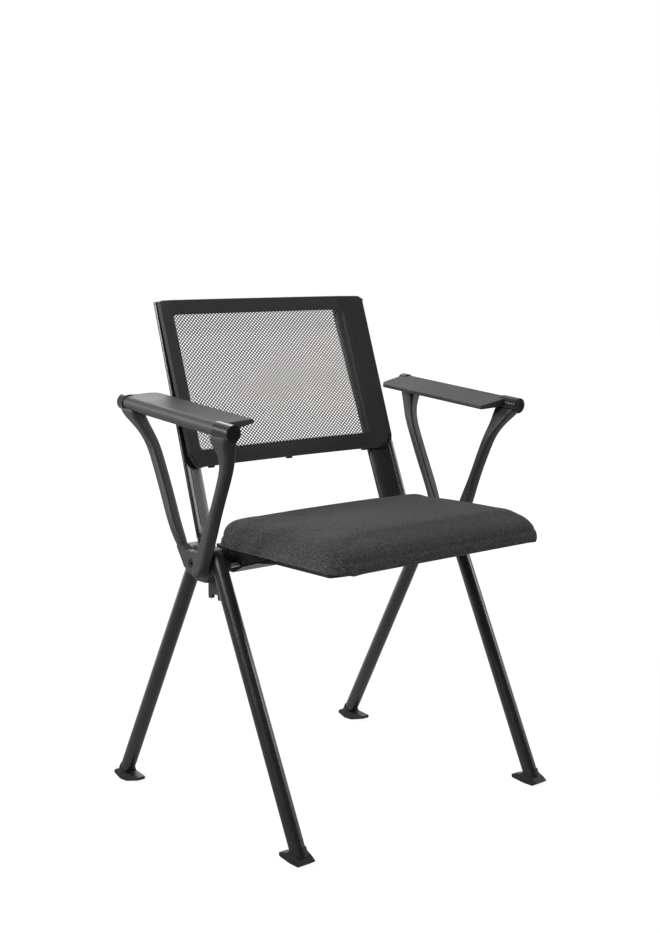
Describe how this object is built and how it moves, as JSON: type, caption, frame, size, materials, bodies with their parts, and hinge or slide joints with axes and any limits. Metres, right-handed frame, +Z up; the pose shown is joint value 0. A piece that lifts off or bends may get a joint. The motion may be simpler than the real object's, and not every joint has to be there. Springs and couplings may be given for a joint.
{
  "type": "chair",
  "caption": "Nesting office chair: fold-up upholstered seat, mesh back on two leaning uprights, flip-up arm pads on V brackets, splayed round tube legs.",
  "frame": {"origin": "on the floor, under the middle of the chair's bounding box", "axes": "+Z up; the front of the chair faces -Y; +X is the sitter's left"},
  "size_m": [0.651, 0.558, 0.8365],
  "materials": {
    "frame_paint": "satin powder coat",
    "cast_paint": "matte powder coat",
    "steel": "satin",
    "black_plastic": "matte",
    "bush_plastic": "matte",
    "pad_plastic": "matte, fine grain",
    "mesh": "open weave",
    "seat_fabric": "melange weave",
    "plywood": "raw"
  },
  "bodies": {
    "frame": {"left_front_leg": "frame_paint", "right_front_leg": "frame_paint", "left_rear_leg": "frame_paint", "right_rear_leg": "frame_paint", "left_front_foot": "black_plastic", "right_front_foot": "black_plastic", "left_rear_foot": "black_plastic", "right_rear_foot": "black_plastic", "left_hub": "cast_paint", "right_hub": "cast_paint", "seat_axle": "steel", "axle_collars": "black_plastic", "seat_stop_pins": "steel", "left_row_connector": "frame_paint", "right_row_connector": "frame_paint", "row_connector_screws": "steel", "left_back_upright": "frame_paint", "right_back_upright": "frame_paint", "upright_plates": "steel", "upright_bolts": "steel", "back_frame": "black_plastic", "back_mesh": "mesh", "back_frame_screws": "steel", "mesh_clips": "black_plastic", "left_arm_bracket": "cast_paint", "right_arm_bracket": "cast_paint", "bracket_screws": "steel", "left_arm_pin": "steel", "right_arm_pin": "steel", "arm_hinge_caps": "black_plastic"},
    "seat": {"seat_cushion": "seat_fabric", "seat_board": "plywood", "seat_shell": "black_plastic", "left_seat_hinge": "steel", "right_seat_hinge": "steel", "left_seat_bush": "bush_plastic", "right_seat_bush": "bush_plastic", "seat_hinge_screws": "steel", "seat_shell_screws": "steel"},
    "left_arm": {"left_arm_pad": "pad_plastic", "left_arm_bushes": "bush_plastic"},
    "right_arm": {"right_arm_pad": "pad_plastic", "right_arm_bushes": "bush_plastic"}
  },
  "joints": [
    {"name": "seat_fold", "type": "hinge", "parent": "frame", "child": "seat", "pos_m": [0, 0.011, 0.428], "axis": [-1, 0, 0], "range_deg": [0, 88]},
    {"name": "left_arm_flip", "type": "hinge", "parent": "frame", "child": "left_arm", "pos_m": [0.312, 0.0155, 0.6625], "axis": [0, 0.9963, 0.0863], "range_deg": [0, 95]},
    {"name": "right_arm_flip", "type": "hinge", "parent": "frame", "child": "right_arm", "pos_m": [-0.312, 0.0155, 0.6625], "axis": [0, -0.9963, -0.0863], "range_deg": [-13, 82]}
  ]
}
